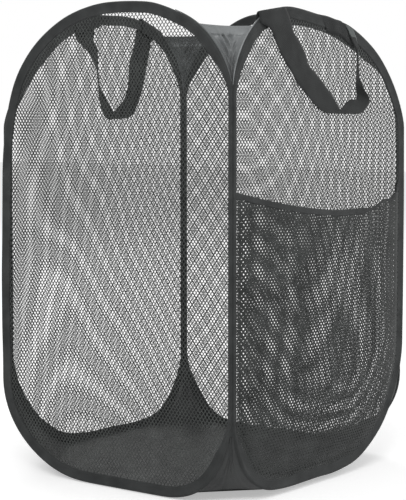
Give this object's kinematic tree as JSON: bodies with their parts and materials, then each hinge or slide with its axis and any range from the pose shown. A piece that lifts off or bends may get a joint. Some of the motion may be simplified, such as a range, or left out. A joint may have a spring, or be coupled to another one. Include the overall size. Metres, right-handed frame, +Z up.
{
  "type": "pop up laundry hamper",
  "caption": "Free-standing mesh laundry hamper on spring wire loops, with webbing handles, an outer net pocket and seams that let it fold flat.",
  "frame": {"origin": "on the floor, at the middle of the base", "axes": "+Z up; the pocket faces -Y; the loops' upright seams stand at the four corners of the X and Y sides"},
  "size_m": [0.3588, 0.4236, 0.558],
  "materials": {
    "spring_steel": "drawn wire, satin",
    "crimp_steel": "pressed tube, satin",
    "seam_tape": "woven polyester tape, matt",
    "webbing": "flat woven webbing, matt",
    "net": "knitted polyester net, slight sheen",
    "nylon": "thin woven nylon, satin",
    "base_nylon": "coated nylon, matt"
  },
  "bodies": {
    "left_side": {"left_spring_wire": "spring_steel", "left_crimp_sleeve": "crimp_steel", "left_binding": "seam_tape", "left_net": "net", "top_gusset_front_left": "nylon", "bottom_gusset_front_left": "base_nylon", "bottom_gusset_back_left": "base_nylon", "bottom_cloth": "base_nylon"},
    "front_side": {"front_spring_wire": "spring_steel", "front_crimp_sleeve": "crimp_steel", "front_binding": "seam_tape", "front_net": "net", "front_strap_end_left": "webbing", "front_strap_end_right": "webbing", "pocket_net": "net", "pocket_binding": "seam_tape", "bottom_gusset_front_right": "base_nylon"},
    "back_side": {"back_spring_wire": "spring_steel", "back_crimp_sleeve": "crimp_steel", "back_binding": "seam_tape", "back_net": "net", "back_strap_end_left": "webbing", "back_strap_end_right": "webbing", "top_gusset_back_right": "nylon", "bottom_gusset_back_right": "base_nylon"},
    "right_side": {"right_spring_wire": "spring_steel", "right_crimp_sleeve": "crimp_steel", "right_binding": "seam_tape", "right_net": "net"},
    "front_handle": {"front_handle": "webbing"},
    "back_handle": {"back_handle": "webbing"}
  },
  "joints": [
    {"name": "front_fold", "type": "hinge", "parent": "left_side", "child": "front_side", "pos_m": [-0.174, -0.174, 0.279], "axis": [0, 0, 1], "range_deg": [0, 88], "stiffness_Nm_per_rad": 0.3, "springref_deg": -11.46, "deforming": ["top_gusset_front_left", "bottom_gusset_front_left", "bottom_gusset_front_right", "bottom_gusset_back_left", "top_gusset_back_right", "bottom_gusset_back_right", "bottom_cloth"]},
    {"name": "back_fold", "type": "hinge", "parent": "left_side", "child": "back_side", "pos_m": [-0.174, 0.174, 0.279], "axis": [0, 0, 1], "range_deg": [0, 88]},
    {"name": "right_fold", "type": "hinge", "parent": "front_side", "child": "right_side", "pos_m": [0.174, -0.174, 0.279], "axis": [0, 0, 1], "range_deg": [-88, 0]},
    {"name": "front_handle_swing", "type": "hinge", "parent": "front_side", "child": "front_handle", "pos_m": [-0.029, -0.18103, 0.52729], "axis": [-1, 0, 0], "range_deg": [0, 172]},
    {"name": "back_handle_swing", "type": "hinge", "parent": "back_side", "child": "back_handle", "pos_m": [0.029, 0.18103, 0.52729], "axis": [1, 0, 0], "range_deg": [0, 172]}
  ],
  "couplings": [
    {"joint": "back_fold", "follows": "front_fold", "ratio": 1},
    {"joint": "right_fold", "follows": "front_fold", "ratio": -1}
  ]
}
